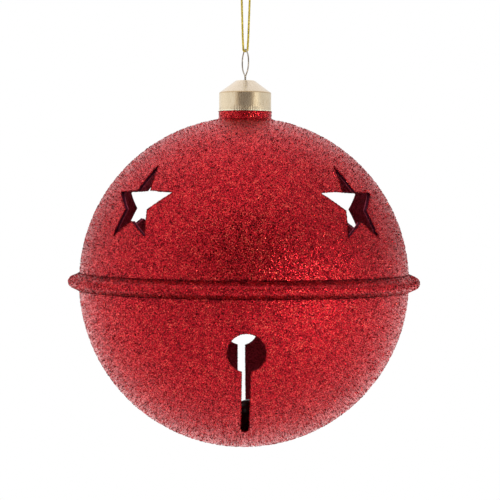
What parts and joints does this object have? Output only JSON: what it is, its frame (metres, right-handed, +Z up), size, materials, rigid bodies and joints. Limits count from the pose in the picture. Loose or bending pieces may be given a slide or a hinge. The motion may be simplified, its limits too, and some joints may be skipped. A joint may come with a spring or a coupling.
{
  "type": "bell ornament",
  "caption": "Round hollow bell ornament with star windows, keyhole slots, a banded middle, a loose ball inside, and a metal cap with a wire eye on a loop of cord.",
  "frame": {"origin": "centre of the hook or twig that the cord's loop hangs on, just under the knot", "axes": "+Z up along the cord, +X to the bell's right, +Y from the front keyhole to the back one"},
  "size_m": [0.128, 0.128, 0.1972],
  "materials": {
    "glitter_shell": "fine red glitter outside, dark red lacquer inside",
    "glitter_band": "fine red glitter",
    "cap_metal": "brushed pale gold",
    "wire": "bright drawn wire",
    "clapper_metal": "polished, dark",
    "gold_cord": "twisted metallic yarn"
  },
  "bodies": {
    "cord": {"hanging_cord": "gold_cord", "cord_knot": "gold_cord"},
    "hanger": {"wire_hanger": "wire"},
    "bell": {"upper_shell": "glitter_shell", "lower_shell": "glitter_shell", "seam_band": "glitter_band", "hanger_cap": "cap_metal"},
    "clapper": {"clapper_ball": "clapper_metal"}
  },
  "joints": [
    {"name": "bell_swing", "type": "hinge", "parent": "cord", "child": "hanger", "pos_m": [0, 0, -0.042], "axis": [0, 1, 0], "range_deg": [-90, 90]},
    {"name": "bell_spin", "type": "hinge", "parent": "hanger", "child": "bell", "pos_m": [0, 0, -0.0535], "axis": [0, 0, 1], "continuous": true},
    {"name": "clapper_roll", "type": "hinge", "parent": "bell", "child": "clapper", "pos_m": [0, 0, -0.12679], "axis": [0, 1, 0], "continuous": true}
  ]
}
